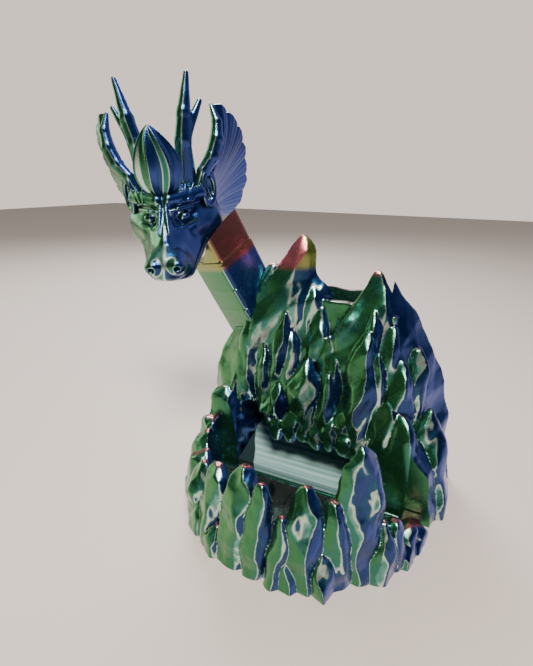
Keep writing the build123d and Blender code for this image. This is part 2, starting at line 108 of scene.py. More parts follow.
def make_surroundings():
    """Pale studio surroundings that are dimmer on the side that the camera is on."""
    world = bpy.data.worlds.new("studio")
    bpy.context.scene.world = world
    world.use_nodes = True
    nodes, links = world.node_tree.nodes, world.node_tree.links
    nodes.clear()
    place = nodes.new("ShaderNodeTexCoord")
    split = nodes.new("ShaderNodeVectorMath")
    split.operation = "DOT_PRODUCT"
    split.inputs[1].default_value = (-0.18, 0.43, 0.20)
    links.new(place.outputs["Generated"], split.inputs[0])
    middle = nodes.new("ShaderNodeMath")
    middle.inputs[1].default_value = 0.5
    links.new(split.outputs["Value"], middle.inputs[0])
    ramp = nodes.new("ShaderNodeValToRGB")
    stops = ramp.color_ramp.elements
    stops[0].position, stops[0].color = 0.38, (0.006, 0.006, 0.009, 1)
    stops[1].position, stops[1].color = 0.85, (0.55, 0.51, 0.48, 1)
    for position, level in ((0.48, 0.12), (0.58, 0.30)):
        stop = stops.new(position)
        stop.color = (level, level * 0.95, level * 0.92, 1)
    links.new(middle.outputs[0], ramp.inputs[0])
    seen = nodes.new("ShaderNodeLightPath")
    mix = nodes.new("ShaderNodeMixRGB")
    mix.inputs[2].default_value = (1.10, 0.92, 0.84, 1)
    links.new(seen.outputs["Is Camera Ray"], mix.inputs[0])
    links.new(ramp.outputs[0], mix.inputs[1])
    shade = nodes.new("ShaderNodeBackground")
    shade.inputs[1].default_value = 1.0
    links.new(mix.outputs[0], shade.inputs[0])
    out = nodes.new("ShaderNodeOutputWorld")
    links.new(shade.outputs[0], out.inputs[0])


def make_floor():
    mesh = bpy.data.meshes.new("floor")
    half = 3.0
    corners = [(-half, -half, 0), (half, -half, 0), (half, half, 0), (-half, half, 0)]
    mesh.from_pydata(corners, [], [(0, 1, 2, 3)])
    floor = bpy.data.objects.new("floor", mesh)
    floor.location.z = -0.0002
    bpy.context.scene.collection.objects.link(floor)
    material = bpy.data.materials.new("pale_board")
    material.use_nodes = True
    shader = material.node_tree.nodes["Principled BSDF"]
    shader.inputs["Base Color"].default_value = (0.70, 0.60, 0.54, 1)
    shader.inputs["Roughness"].default_value = 0.55
    mesh.materials.append(material)


# ---- distance fields -----------------------------------------------------------------------
class Field:
    """A distance field on a regular grid, below zero inside the solid."""

    def __init__(self, low, high, step):
        self.low = np.array(low, float)
        self.step = step
        counts = np.ceil((np.array(high, float) - self.low) / step).astype(int) + 1
        self.axes = [self.low[i] + step * np.arange(counts[i]) for i in range(3)]
        self.values = np.full(counts, FAR, np.float32)
        self.drift = None

    def wander(self, amount, wavelength, seed):
        """From here on, shapes are drawn in gently wandering coordinates, which makes edges uneven."""
        _, (x, y, z) = self.everywhere()
        self.drift = [
            (amount * crease(x, y, z, wavelength, seed + axis)).astype(np.float32) for axis in range(3)
        ]

    def straight(self):
        self.drift = None

    def window(self, low, high):
        """The part of the grid between two corners, and its coordinates."""
        slices, spans = [], []
        for i in range(3):
            first = max(int((low[i] - self.low[i]) / self.step), 0)
            last = min(int((high[i] - self.low[i]) / self.step) + 2, len(self.axes[i]))
            slices.append(slice(first, max(last, first)))
            spans.append(self.axes[i][slices[-1]].astype(np.float32))
        slices = tuple(slices)
        grid = [spans[0][:, None, None], spans[1][None, :, None], spans[2][None, None, :]]
        if self.drift:
            grid = [axis + drift[slices] for axis, drift in zip(grid, self.drift)]
        return slices, grid

    def everywhere(self):
        return self.window(self.low, [axis[-1] for axis in self.axes])

    def add(self, slices, distance, blend=0.0):
        """Joins a solid, with a fillet of about the blend's size where it meets the rest."""
        old = self.values[slices]
        if blend:
            mix = np.clip(0.5 + 0.5 * (old - distance) / blend, 0, 1)
            new = old * (1 - mix) + distance * mix - blend * mix * (1 - mix)
        else:
            new = np.minimum(old, distance)
        self.values[slices] = new

    def cut(self, slices, distance, blend=0.0):
        """Takes a solid away."""
        old = self.values[slices]
        if blend:
            mix = np.clip(0.5 - 0.5 * (old + distance) / blend, 0, 1)
            new = old * (1 - mix) - distance * mix + blend * mix * (1 - mix)
        else:
            new = np.maximum(old, -distance)
        self.values[slices] = new

    def mesh(self, name, place=None):
        """A closed mesh object in metres. place turns the field's axes into the row's."""
        edge = self.values
        for axis in range(3):
            ends = [slice(None)] * 3
            for end in (0, -1):
                ends[axis] = end
                edge[tuple(ends)] = np.maximum(edge[tuple(ends)], self.step)
        grid = openvdb.FloatGrid(FAR)
        grid.copyFromArray(self.values)
        points, _, quads = grid.convertToPolygons(isovalue=0.0, adaptivity=0.0)
        points = points * self.step + self.low
        if place is not None:
            rotation, origin = place
            points = points @ rotation + origin
        return mesh_object(name, points * MM, quads)


def mesh_object(name, points, faces):
    mesh = bpy.data.meshes.new(name)
    faces = np.asarray(faces)
    sides = faces.shape[1]
    mesh.vertices.add(len(points))
    mesh.vertices.foreach_set("co", np.asarray(points, np.float32).ravel())
    mesh.loops.add(faces.size)
    mesh.loops.foreach_set("vertex_index", faces.astype(np.int32).ravel())
    mesh.polygons.add(len(faces))
    mesh.polygons.foreach_set("loop_start", np.arange(0, faces.size, sides, dtype=np.int32))
    mesh.update(calc_edges=True)
    mesh.validate()
    shell = bmesh.new()
    shell.from_mesh(mesh)
    bmesh.ops.recalc_face_normals(shell, faces=shell.faces)
    shell.to_mesh(mesh)
    shell.free()
    piece = bpy.data.objects.new(name, mesh)
    bpy.context.scene.collection.objects.link(piece)
    return piece


def ripple(x, y, z, wavelength, seed, waves=6):
    """A smooth wandering value from -1 to 1."""
    rng = np.random.default_rng(seed)
    total = 0.0
    for _ in range(waves):
        way = rng.normal(size=3)
        way *= 2 * pi / (wavelength * rng.uniform(0.8, 1.4) * np.linalg.norm(way))
        total = total + np.sin(x * way[0] + y * way[1] + z * way[2] + rng.uniform(0, 2 * pi))
    return total / (waves ** 0.5 * 1.6)


def crease(x, y, z, wavelength, seed, waves=4):
    """Like ripple, but made of flat pieces that meet in creases."""
    rng = np.random.default_rng(seed)
    total = 0.0
    for _ in range(waves):
        way = rng.normal(size=3)
        way *= 2 * pi / (wavelength * rng.uniform(0.8, 1.4) * np.linalg.norm(way))
        wave = np.sin(x * way[0] + y * way[1] + z * way[2] + rng.uniform(0, 2 * pi))
        total = total + np.arcsin(wave) * (2 / pi)
    return total / (waves ** 0.5 * 1.6)


def crystal(field, centre, profile, facing=0.0, sides=6, lean=(0.0, 0.0), squeeze=1.0, seed=0, uneven=0.12,
            edge=0.45, blend=0.0, stagger=0.5):
    """A rock: a faceted convex column whose half width follows profile, a list of (height, half width)."""
    rng = np.random.default_rng(seed)
    low_z, high_z = profile[0][0], profile[-1][0]
    reach = max(width for _, width in profile) * (1 + uneven) * 1.35 + 4
    shift = (abs(lean[0]), abs(lean[1]))
    low = (centre[0] - reach - shift[0], centre[1] - reach - shift[1], low_z - 4)
    high = (centre[0] + reach + shift[0], centre[1] + reach + shift[1], high_z + 4)
    slices, (x, y, z) = field.window(low, high)
    share = np.clip((z - low_z) / (high_z - low_z), 0, 1)
    dx = x - centre[0] - lean[0] * share
    dy = y - centre[1] - lean[1] * share
    turn = radians(facing)
    across = dx * cos(turn) + dy * sin(turn)
    deep = (dy * cos(turn) - dx * sin(turn)) / squeeze
    planes = [low_z - z + 0 * across, z - high_z + 0 * across]
    for tier, ((z0, r0), (z1, r1)) in enumerate(zip(profile, profile[1:])):
        for side in range(sides):
            angle = 2 * pi * (side + stagger * (tier % 2) + 0.25 + rng.uniform(-0.16, 0.16)) / sides
            swell = 1 + rng.uniform(-uneven, uneven)
            run, rise = (r1 - r0) * swell, z1 - z0
            length = hypot(run, rise)
            outward = across * cos(angle) + deep * sin(angle)
            planes.append((outward - swell * r0) * (rise / length) - (z - z0) * (run / length))
    top = planes[0]
    for plane in planes[1:]:
        top = np.maximum(top, plane)
    total = sum(np.exp((plane - top) / edge) for plane in planes)
    field.add(slices, top + edge * np.log(total) - edge * 0.7, blend)


# ---- cutters -------------------------------------------------------------------------------
def prism(name, outline, start, end, plane):
    """A solid of one outline between two distances along a plane's axes (origin, x, y, normal)."""
    origin, x_way, y_way, normal = (Vector(v) for v in plane)
    solid = bmesh.new()
    rings = []
    for distance in (start, end):
        rings.append([
            solid.verts.new((origin + x_way * a + y_way * b + normal * distance) * MM) for a, b in outline
        ])
    count = len(outline)
    solid.faces.new(rings[0])
    solid.faces.new(rings[1][::-1])
    for i in range(count):
        after = (i + 1) % count
        solid.faces.new((rings[0][i], rings[1][i], rings[1][after], rings[0][after]))
    bmesh.ops.recalc_face_normals(solid, faces=solid.faces)
    mesh = bpy.data.meshes.new(name)
    solid.to_mesh(mesh)
    solid.free()
    piece = bpy.data.objects.new(name, mesh)
    bpy.context.scene.collection.objects.link(piece)
    return piece


def box_outline(low, high):
    return [(low[0], low[1]), (high[0], low[1]), (high[0], high[1]), (low[0], high[1])]


def disc_outline(centre, radius, count=32):
    turns = [2 * pi * step / count for step in range(count)]
    return [(centre[0] + radius * cos(t), centre[1] + radius * sin(t)) for t in turns]


LEVEL = ((0, 0, 0), (1, 0, 0), (0, 1, 0), (0, 0, 1))
UPRIGHT = ((0, 0, 0), (1, 0, 0), (0, 0, 1), (0, 1, 0))


def carve(piece, cutters):
    """Takes closed solids away from a piece, with crisp edges, and removes the cutters."""
    for cutter in cutters:
        step = piece.modifiers.new("carve", "BOOLEAN")
        step.operation = "DIFFERENCE"
        step.solver = "MANIFOLD"
        step.object = cutter
    settle(piece)
    for cutter in cutters:
        bpy.data.objects.remove(cutter)


def settle(piece):
    """Applies a piece's modifiers."""
    graph = bpy.context.evaluated_depsgraph_get()
    graph.update()
    mesh = bpy.data.meshes.new_from_object(piece.evaluated_get(graph))
    piece.modifiers.clear()
    piece.data = mesh


def thin_out(piece, most_faces):
    """Brings a piece under a number of triangles without changing its shape visibly."""
    triangles = sum(len(face.vertices) - 2 for face in piece.data.polygons)
    if triangles > most_faces:
        step = piece.modifiers.new("thin", "DECIMATE")
        step.ratio = most_faces / triangles
        settle(piece)


def smooth(piece, angle=38.0):
    for face in piece.data.polygons:
        face.use_smooth = True
    piece.data.set_sharp_from_angle(angle=radians(angle))


# ---- materials -----------------------------------------------------------------------------
# The filament holds three colours side by side, so a surface's colour follows the way it faces: green to the
# left, blue to the right. SIDE_WAY lies level with the camera's right, so the colour stops below also paint
# light: a pale mint band is a painted highlight on faces turned to the camera, and a dark navy band after it
# is painted shade, the dark reflection on faces turned to the front right.
SIDE_WAY = (0.913, 0.408, 0.0)
GREEN_BLUE_AND_PAINTED_SHEEN = [
    (0.00, (0.060, 0.240, 0.070)),
    (0.28, (0.036, 0.190, 0.070)),
    (0.40, (0.026, 0.170, 0.130)),
    # painted highlight: pale mint on faces turned to the camera
    (0.445, (0.140, 0.360, 0.300)),
    (0.472, (0.560, 0.700, 0.580)),
    (0.500, (0.500, 0.640, 0.560)),
    # painted shade up to 0.62: dark navy, the dark reflection on faces turned to the front right
    (0.528, (0.012, 0.070, 0.150)),
    (0.62, (0.012, 0.040, 0.160)),
    (0.80, (0.028, 0.065, 0.300)),
    (1.00, (0.045, 0.080, 0.380)),
]
RED_OLIVE = [
    (0.00, (0.450, 0.080, 0.100)),
    (0.48, (0.700, 0.220, 0.240)),
    (0.56, (0.260, 0.300, 0.080)),
    (1.00, (0.170, 0.260, 0.060)),
]
OLIVE_RED = [
    (0.00, (0.230, 0.260, 0.070)),
    (0.50, (0.300, 0.300, 0.090)),
    (0.62, (0.220, 0.100, 0.090)),
    (1.00, (0.250, 0.075, 0.090)),
]
# painted reflection: the pale streaked colour of the ramp
PAINTED_SHEEN_STREAKS = [(0.30, (0.20, 0.40, 0.38)), (0.50, (0.33, 0.56, 0.53)), (0.66, (0.52, 0.72, 0.68))]


class Graph:
    """Short calls for building a material's nodes."""

    def __init__(self, name):
        self.material = bpy.data.materials.new(name)
        self.material.use_nodes = True
        self.tree = self.material.node_tree
        self.shader = self.tree.nodes["Principled BSDF"]
        self.place = self.node("ShaderNodeTexCoord")

    def node(self, kind, **settings):
        made = self.tree.nodes.new(kind)
        for key, value in settings.items():
            setattr(made, key, value)
        return made

    def link(self, source, target):
        if isinstance(source, (int, float, tuple)):
            target.default_value = source
        else:
            self.tree.links.new(source, target)

    def maths(self, operation, a, b=0.0, clamp=False):
        made = self.node("ShaderNodeMath", operation=operation, use_clamp=clamp)
        self.link(a, made.inputs[0])
        self.link(b, made.inputs[1])
        return made.outputs[0]

    def dot(self, a, way):
        made = self.node("ShaderNodeVectorMath", operation="DOT_PRODUCT")
        self.link(a, made.inputs[0])
        self.link(way, made.inputs[1])
        return made.outputs["Value"]

    def stops(self, factor, stops, smooth=True):
        made = self.node("ShaderNodeValToRGB")
        made.color_ramp.interpolation = "EASE" if smooth else "LINEAR"
        elements = made.color_ramp.elements
        while len(elements) < len(stops):
            elements.new(0.5)
        for element, (position, colour) in zip(elements, stops):
            element.position = position
            element.color = (*colour, 1)
        self.link(factor, made.inputs[0])
        return made.outputs[0]

    def mix(self, factor, a, b):
        made = self.node("ShaderNodeMixRGB")
        self.link(factor, made.inputs[0])
        self.link((*a, 1) if isinstance(a, tuple) else a, made.inputs[1])
        self.link((*b, 1) if isinstance(b, tuple) else b, made.inputs[2])
        return made.outputs[0]

    def noise(self, scale, detail=2.0, stretch=(1, 1, 1)):
        mapping = self.node("ShaderNodeMapping")
        mapping.inputs["Scale"].default_value = stretch
        self.link(self.place.outputs["Object"], mapping.inputs[0])
        made = self.node("ShaderNodeTexNoise")
        made.inputs["Scale"].default_value = scale
        made.inputs["Detail"].default_value = detail
        self.link(mapping.outputs[0], made.inputs[0])
        return made.outputs[0]

    def between(self, value, low, high):
        """0 below low, 1 above high."""
        made = self.node("ShaderNodeMapRange", interpolation_type="SMOOTHSTEP")
        self.link(value, made.inputs[0])
        made.inputs[1].default_value = low
        made.inputs[2].default_value = high
        return made.outputs[0]


def silk(name, layers=(0, 0, 1), band=None, flat_up=0.35, layer_height=0.3, shine=0.20, red_above=9.0,
         turned_to=RED_OLIVE):
    """Glossy three-colour printed plastic, with painted light in its colour: a painted highlight and painted
    shade on faces turned to the camera, and painted shade on low faces that look up. layers is the way its
    layers are stacked, and band is the (distance along layers in metres, softness) above which the filament's
    colours have turned."""
    graph = Graph(name)
    facing = graph.place.outputs["Normal"]
    position = graph.place.outputs["Object"]
    wander = graph.maths("MULTIPLY", graph.maths("SUBTRACT", graph.noise(45.0), 0.5), 0.16)
    side = graph.maths("ADD", graph.dot(facing, SIDE_WAY), wander)
    side = graph.maths("MULTIPLY_ADD", side, 0.5)
    side.node.inputs[2].default_value = 0.5
    # filament green and blue, with a painted highlight and painted shade on faces turned to the camera
    colour = graph.stops(side, GREEN_BLUE_AND_PAINTED_SHEEN)
    height = graph.dot(position, tuple(layers))
    if band:
        turned = graph.stops(side, turned_to)
        colour = graph.mix(graph.between(height, band[0] - band[1], band[0] + band[1]), colour, turned)
    # painted shade: faces that look up turn dark below red_above millimetres; above it they take the
    # filament's red. flat_up sets how far they turn.
    up = graph.between(graph.dot(facing, (0, 0, 1)), 0.75, 1.0)
    reddened = graph.between(graph.dot(position, (0, 0, 1)), (red_above - 1.5) * MM, red_above * MM)
    top_shade_and_red = graph.mix(reddened, (0.045, 0.040, 0.055), (0.300, 0.045, 0.055))
    colour = graph.mix(graph.maths("MULTIPLY", up, flat_up), colour, top_shade_and_red)
    graph.link(colour, graph.shader.inputs["Base Color"])
    graph.shader.inputs["Metallic"].default_value = 0.90
    graph.shader.inputs["Specular IOR Level"].default_value = 0.6
    graph.shader.inputs["Coat Weight"].default_value = 0.30
    graph.shader.inputs["Coat Roughness"].default_value = 0.12
    roughness = graph.maths("MULTIPLY_ADD", graph.noise(160.0), 0.12)
    roughness.node.inputs[2].default_value = shine
    graph.link(roughness, graph.shader.inputs["Roughness"])
    lines = graph.maths("SINE", graph.maths("MULTIPLY", height, 2 * pi / (layer_height * MM)))
    streaks = graph.noise(9.0, 3.0, (6, 6, 130) if layers[2] > 0.99 else (20, 20, 60))
    relief = graph.maths("MULTIPLY_ADD", streaks, 2.2)
    graph.link(lines, relief.node.inputs[2])
    bump = graph.node("ShaderNodeBump")
    bump.inputs["Strength"].default_value = 0.10
    bump.inputs["Distance"].default_value = 0.0001
    graph.link(relief, bump.inputs["Height"])
    graph.link(bump.outputs[0], graph.shader.inputs["Normal"])
    return graph.material


def painted_sheen_silk(name):
    """The ramp's colour: a painted reflection, pale with long level streaks, darker teal towards its right
    end, and painted shade, the dark reflection of the cave's left wall, over its left end.
    """
    graph = Graph(name)
    across = graph.dot(graph.place.outputs["Object"], (1, 0, 0))
    streaks = graph.noise(6.0, 6.0, (1.2, 45, 45))
    # painted reflection: pale, with long level streaks like layer lines
    colour = graph.stops(streaks, PAINTED_SHEEN_STREAKS)
    # darker teal towards the right end
    colour = graph.mix(graph.between(across, 0.020, 0.050), colour, (0.06, 0.20, 0.15))
    # painted shade: the dark reflection of the cave's left wall over the ramp's left end, with a slanted,
    # slightly wavering edge
    slanted = graph.dot(graph.place.outputs["Object"], (1, 0.447, 0))
    edge = graph.maths("MULTIPLY_ADD", graph.noise(60.0), 0.004)
    graph.link(slanted, edge.node.inputs[2])
    colour = graph.mix(graph.between(edge, -0.0430, -0.0420), (0.012, 0.035, 0.035), colour)
    graph.link(colour, graph.shader.inputs["Base Color"])
    graph.shader.inputs["Metallic"].default_value = 0.35
    graph.shader.inputs["Coat Weight"].default_value = 0.5
    graph.shader.inputs["Coat Roughness"].default_value = 0.08
    graph.link(graph.maths("MULTIPLY_ADD", streaks, 0.25), graph.shader.inputs["Roughness"])
    bump = graph.node("ShaderNodeBump")
    bump.inputs["Strength"].default_value = 0.12
    bump.inputs["Distance"].default_value = 0.0003
    graph.link(streaks, bump.inputs["Height"])
    graph.link(bump.outputs[0], graph.shader.inputs["Normal"])
    return graph.material


def nickel(name):
    graph = Graph(name)
    graph.link(graph.mix(graph.noise(900.0), (0.55, 0.55, 0.56), (0.70, 0.69, 0.68)),
               graph.shader.inputs["Base Color"])
    graph.shader.inputs["Metallic"].default_value = 1.0
    roughness = graph.maths("MULTIPLY_ADD", graph.noise(1500.0), 0.2)
    roughness.node.inputs[2].default_value = 0.2
    graph.link(roughness, graph.shader.inputs["Roughness"])
    return graph.material


def finish_piece(piece, material, body, slot, *nodes):
    piece.data.materials.clear()
    piece.data.materials.append(material)
    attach(piece, body)
    if nodes:
        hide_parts(*nodes)


# ---- the crag ------------------------------------------------------------------------------
CAMERA_FACING = 23.8            # turns a crystal's facets to either side of the front ridge
# The big bodies: (centre, profile, lean, squeeze, sides)
CRAG_BODIES = [
    ((-25, 38), [(-8, 50), (60, 46), (128, 37), (158, 28), (175, 16), (195, 2)], (4, -6), 0.36, 5),
    ((49, 44), [(-8, 50), (50, 45), (92, 40), (125, 31), (152, 17), (173, 3)], (-12, -8), 0.56, 5),
    ((-48, 42), [(-8, 50), (60, 48), (82, 45), (118, 32), (150, 18), (170, 5)], (6, -6), 0.55, 6),
    ((12, 58), [(-8, 66), (70, 60), (120, 44), (142, 32)], (0, 0), 0.52, 9),
]
# Rocks of the front: (tip x, tip y, tip height, half width, foot height)
FRONT_ROCKS = [
    (35, 12, 133, 13, 38), (45, 13, 120, 7, 50), (-7, 9, 105, 12, 58), (1, 4, 80, 15, 36),
    (-37, 4, 76, 13, 36),
    (-29, 14, 140, 8, 66), (-43, 11, 113, 7, 40), (-56, 18, 145, 9, 60), (-60, 14, 108, 10, -8),
    (-67, 10, 90, 10, -8), (-22, 14, 127, 7, 70), (13, 14, 116, 9, 50), (52, 22, 137, 9, 70),
    (61, 18, 116, 10, 40), (57, 7, 87, 10, 36), (28, 5, 85, 13, 38), (11, 8, 102, 7, 44),
    (16, 26, 139, 9, 80),
    (-3, 24, 143, 8, 90), (-19, 24, 149, 8, 90), (8, 18, 127, 7, 70), (25, 30, 151, 9, 90),
    (37, 22, 149, 9, 80), (-28, 6, 88, 8, 44), (68, 30, 120, 13, -8), (-74, 18, 92, 12, -8),
    (-48, 24, 158, 9, 90), (-12, 28, 165, 9, 100), (46, 30, 153, 9, 90), (20, 10, 66, 8, 40),
    (44, 8, 70, 9, 34),
]
# Small rocks that hang over the cave's mouth: (x, y, lowest height, tip height, half width)
HANGING_ROCKS = [
    (-26, 4, 36, 60, 7), (-14, 3, 38, 66, 8), (-4, 4, 40, 62, 7), (8, 3, 37, 60, 7), (18, 3, 39, 66, 8),
    (29, 3, 38, 60, 8), (40, 4, 33, 62, 8), (50, 5, 28, 58, 7), (56, 6, 24, 56, 6), (-33, 5, 44, 70, 6),
]
# The ring's own rocks that the docking plane cuts through: (centre, profile, lean)
WING_ROCKS = [
    ((78, 4), [(-8, 21), (34, 20), (52, 14), (68, 8), (80, 2)], (-11, 6)),
    ((-77, 4), [(-8, 19), (30, 18), (54, 13), (66, 9), (71, 3)], (2, 4)),
    ((90, 20), [(-8, 17), (40, 15), (62, 10), (82, 2)], (-8, 6)),
    ((-84, 22), [(-8, 15), (40, 14), (66, 9), (80, 2)], (4, 4)),
]
# Rocks behind the neck that close its socket at the back: (centre, profile, lean)
BACK_ROCKS = [
    ((-58, 76), [(-8, 22), (60, 21), (98, 15), (124, 3)], (4, -4)),
    ((-38, 80), [(-8, 22), (70, 20), (112, 15), (138, 3)], (2, -6)),
    ((-77, 56), [(-8, 20), (50, 18), (80, 12), (98, 3)], (4, -2)),
]
# Rows of rocks round the crag: (reach in x, reach in y, extra height, angles round from the right)
SIDE_ROWS = [
    (66, 36, 0, (4, 32, 58, 80, 98, 114, 128, 142, 156, 170, 182)),
    (44, 26, 38, (10, 84, 108, 130, 152, 172)),
]


def crag_field():
    field = Field((-106, -4, -2), (114, 104, 200), 1.1)
    field.wander(2.6, 27.0, 71)
    for number, (centre, profile, lean, squeeze, sides) in enumerate(CRAG_BODIES):
        crystal(field, centre, profile, CAMERA_FACING, sides, lean, squeeze, seed=number + 3, uneven=0.05,
                edge=0.6, stagger=0.2)
    field.straight()
    slices, (x, y, z) = field.everywhere()
    middle_x = (CHIMNEY_LOW[0] + CHIMNEY_HIGH[0]) / 2
    middle_y = (CHIMNEY_LOW[1] + CHIMNEY_HIGH[1]) / 2
    wall_x = np.abs(x - middle_x) - (CHIMNEY_HIGH[0] - CHIMNEY_LOW[0]) / 2 - CHIMNEY_WALL
    wall_y = np.abs(y - middle_y) - (CHIMNEY_HIGH[1] - CHIMNEY_LOW[1]) / 2 - CHIMNEY_WALL
    wall_top = CHIMNEY_WALL_TOP - 0.16 * np.clip(x - 16, 0, 60) - 0.10 * np.clip(y - 50, 0, 60)
    wall_top = wall_top + 1.2 * ripple(x, y, 0 * z, 18.0, 8)
    field.add(slices, np.maximum(np.maximum(wall_x, wall_y), z - wall_top))
    field.wander(2.6, 27.0, 71)
    # rocks round the sides and the back: broad slabs on the right, smaller ones towards the left
    rng = np.random.default_rng(11)
    for row, (reach_x, reach_y, tall, turns) in enumerate(SIDE_ROWS):
        for number, turn_degrees in enumerate(turns):
            turn = radians(turn_degrees)
            centre = (8 + reach_x * cos(turn), 38 + reach_y * sin(turn))
            width = rng.uniform(15, 19) + 9 * max(cos(turn), 0)
            tip = 80 + 38 * sin(turn) ** 2 + 14 * cos(turn) + tall + rng.uniform(-8, 8)
            profile = [(-8, width), (tip * 0.42, width * 0.95), (tip * 0.76, width * 0.66), (tip, 2.5)]
            lean = (-cos(turn) * 9, -sin(turn) * 7)
            crystal(field, centre, profile, turn_degrees, 5, lean, 0.85, seed=40 + 20 * row + number)
    for number, (centre, profile, lean) in enumerate(WING_ROCKS + BACK_ROCKS):
        crystal(field, centre, profile, CAMERA_FACING, 7, lean, 1.0, seed=80 + number, uneven=0.07)
    for number, (tip_x, tip_y, tip, width, foot) in enumerate(FRONT_ROCKS):
        tall = tip - foot
        profile = [
            (foot, width * 0.70), (foot + tall * 0.30, width), (foot + tall * 0.68, width * 0.90),
            (foot + tall * 0.90, width * 0.52), (tip, width * 0.16),
        ]
        lean = (rng.uniform(-3, 3), tall * 0.07)
        centre = (tip_x - lean[0] * 0.8, max(tip_y + 0.4 * width - lean[1], 0.92 * width - 1))
        facing = CAMERA_FACING + rng.uniform(-9, 9)
        crystal(field, centre, profile, facing, 5, lean, 0.9, seed=100 + number, uneven=0.16, edge=0.4)
    return field


def make_crag(material):
    field = crag_field()
    field.straight()
    # the cave, with a ragged edge
    slices, (x, y, z) = field.window((-64, -4, -2), (64, CAVE_DEPTH + 2, 64))
    ragged = 1.8 * ripple(x, y, z, 13.0, 5)
    roof = 43 - 0.075 * (x + 26) + np.where(x < -28, 15, 0) - np.clip(x - 44, 0, 20) * 0.55
    inner = np.where((x > -26) & (x < 46) & (y > 12), 7, 0)
    hollow = np.maximum(np.abs(x) - 60, z - roof - inner) + ragged
    hollow = np.maximum(hollow, y - CAVE_DEPTH)
    field.cut(slices, hollow)
    for number, (at_x, at_y, low, tip, width) in enumerate(HANGING_ROCKS):
        tall = tip - low
        profile = [(low, width * 0.35), (low + tall * 0.4, width), (low + tall * 0.7, width * 0.9), (tip, 2)]
        crystal(field, (at_x, at_y), profile, CAMERA_FACING, 5, (0, 3), 0.8, seed=150 + number, uneven=0.2)
    slices, (x, y, z) = field.everywhere()
    # uneven creases over the whole crag, with finer ones added towards the front
    front = np.clip((46 - y) / 30, 0, 1)
    worn = 0.7 * crease(x, y, z * 0.6, 26.0, 21) + 0.40 * front * crease(x, y, z * 0.6, 10.0, 22)
    field.values += worn.astype(np.float32)
    crag = field.mesh("crag")
    neck_hole = NECK_SIDE / 2 + 0.35
    carve(crag, [
        prism("below", box_outline((-200, -200), (200, 200)), -50, 0, LEVEL),
        prism("before", box_outline((-200, -60), (200, 300)), -50, DOCK_Y, UPRIGHT),
        prism("chimney", box_outline(CHIMNEY_LOW, CHIMNEY_HIGH), BASE_THICKNESS, 260, LEVEL),
        prism("socket", box_outline((-neck_hole, -neck_hole), (neck_hole, neck_hole)), -NECK_BELOW - 0.1,
              NECK_BELOW, neck_plane()),
        *[prism("peg_hole", disc_outline((x, DOCK_HEIGHT), PEG_RADIUS + PEG_HOLE_GAP), DOCK_Y - 1,
                DOCK_Y + PEG_HOLE_DEPTH, UPRIGHT) for x in (-PEG_X, PEG_X)],
    ])
    thin_out(crag, 190000)
    smooth(crag)
    finish_piece(crag, material, "tower", "silk_crag", "mountain_shell")


def neck_plane():
    """The neck's own axes at its joint: (origin, x, y, axis)."""
    across = Vector((0, 0, 1)).cross(NECK_AXIS).normalized()
    other = NECK_AXIS.cross(across)
    turn = radians(NECK_TURN)
    x_way = across * cos(turn) + other * sin(turn)
    return (NECK_JOINT, x_way, NECK_AXIS.cross(x_way), NECK_AXIS)


# ---- the tray ------------------------------------------------------------------------------
TRAY_OUTER = 96.0
# Each rock is (angle from straight ahead, height, half width, inward lean, lean to the right).
TRAY_ROCKS = [
    (-85, 50, 14, 3, 0), (-72, 47, 14, 4, 0), (-58, 42, 13, 4, 0), (-44, 48, 13, 4, 2), (-30, 60, 13, 5, 3),
    (-15, 70, 13, 7, 6), (-3.5, 66, 9, 6, 5), (6.5, 47, 7.5, 5, 5), (18, 66, 12.5, 7, 1), (32, 58, 11, 6, -2),
    (45, 92, 17, 9, -4), (59, 36, 9, 2, 0), (69, 22, 9, 1, 0), (79, 12, 9, 0, 0),
]
# Low rocks at the foot of the ring: (angle, height, half width)
FOOT_ROCKS = [(-79, 20, 9), (-65, 16, 9), (-37, 24, 8), (-22, 20, 7), (12.5, 22, 6), (26, 26, 7), (52, 40, 9),
              (63, 18, 9), (74, 9, 9)]


